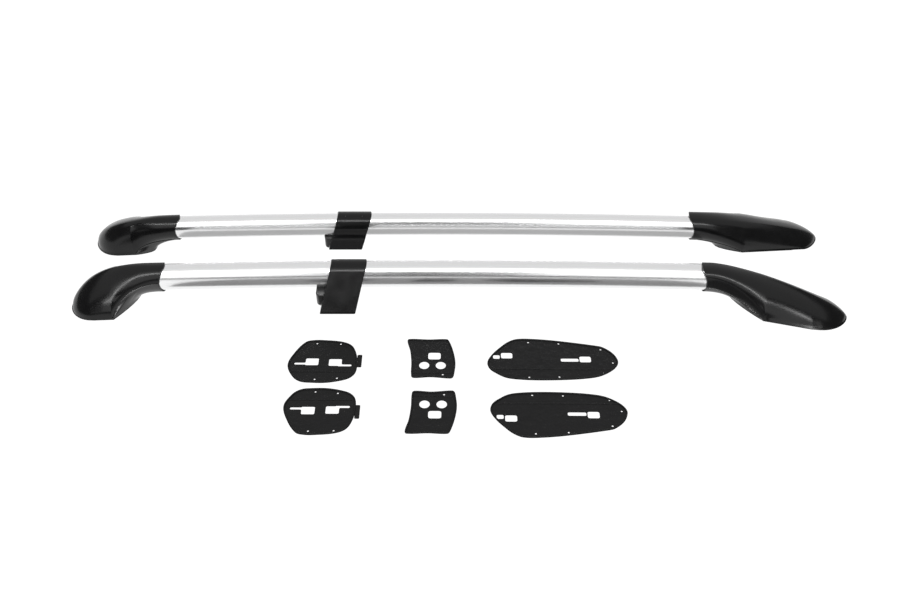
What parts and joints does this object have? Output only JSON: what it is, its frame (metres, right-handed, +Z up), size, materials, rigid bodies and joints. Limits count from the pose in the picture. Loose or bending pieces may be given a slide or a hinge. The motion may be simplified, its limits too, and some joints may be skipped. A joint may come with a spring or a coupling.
{
  "type": "roof side rail pair",
  "caption": "Two mirrored roof side rails: oval aluminium tubes on moulded end feet and raked middle feet, with the loose rubber gaskets that seal the feet to a roof.",
  "frame": {"origin": "middle of the whole set's footprint, on the floor that the rails and gaskets lie on", "axes": "+X along the rails towards the long feet, +Y from the gaskets towards the far rail, +Z up"},
  "size_m": [1.5241, 0.5914, 0.0983],
  "materials": {
    "anodised_tube": "satin",
    "cover_plastic": "satin",
    "core_plastic": "matte",
    "insert_brass": "satin",
    "screw_steel": "satin",
    "gasket_rubber": "matte"
  },
  "bodies": {
    "root": {"near_tube": "anodised_tube", "near_short_foot_cover": "cover_plastic", "near_short_foot_panel": "cover_plastic", "near_short_foot_core": "core_plastic", "near_short_foot_inserts": "insert_brass", "near_short_foot_screws": "screw_steel", "near_middle_foot_cover": "cover_plastic", "near_middle_foot_panel": "cover_plastic", "near_middle_foot_bracket": "core_plastic", "near_middle_foot_inserts": "insert_brass", "near_middle_foot_screws": "screw_steel", "near_long_foot_cover": "cover_plastic", "near_long_foot_panel": "cover_plastic", "near_long_foot_core": "core_plastic", "near_long_foot_inserts": "insert_brass", "near_long_foot_screws": "screw_steel", "near_short_gasket": "gasket_rubber", "near_middle_gasket": "gasket_rubber", "near_long_gasket": "gasket_rubber", "far_tube": "anodised_tube", "far_short_foot_cover": "cover_plastic", "far_short_foot_panel": "cover_plastic", "far_short_foot_core": "core_plastic", "far_short_foot_inserts": "insert_brass", "far_short_foot_screws": "screw_steel", "far_middle_foot_cover": "cover_plastic", "far_middle_foot_panel": "cover_plastic", "far_middle_foot_bracket": "core_plastic", "far_middle_foot_inserts": "insert_brass", "far_middle_foot_screws": "screw_steel", "far_long_foot_cover": "cover_plastic", "far_long_foot_panel": "cover_plastic", "far_long_foot_core": "core_plastic", "far_long_foot_inserts": "insert_brass", "far_long_foot_screws": "screw_steel", "far_short_gasket": "gasket_rubber", "far_middle_gasket": "gasket_rubber", "far_long_gasket": "gasket_rubber"}
  },
  "joints": []
}
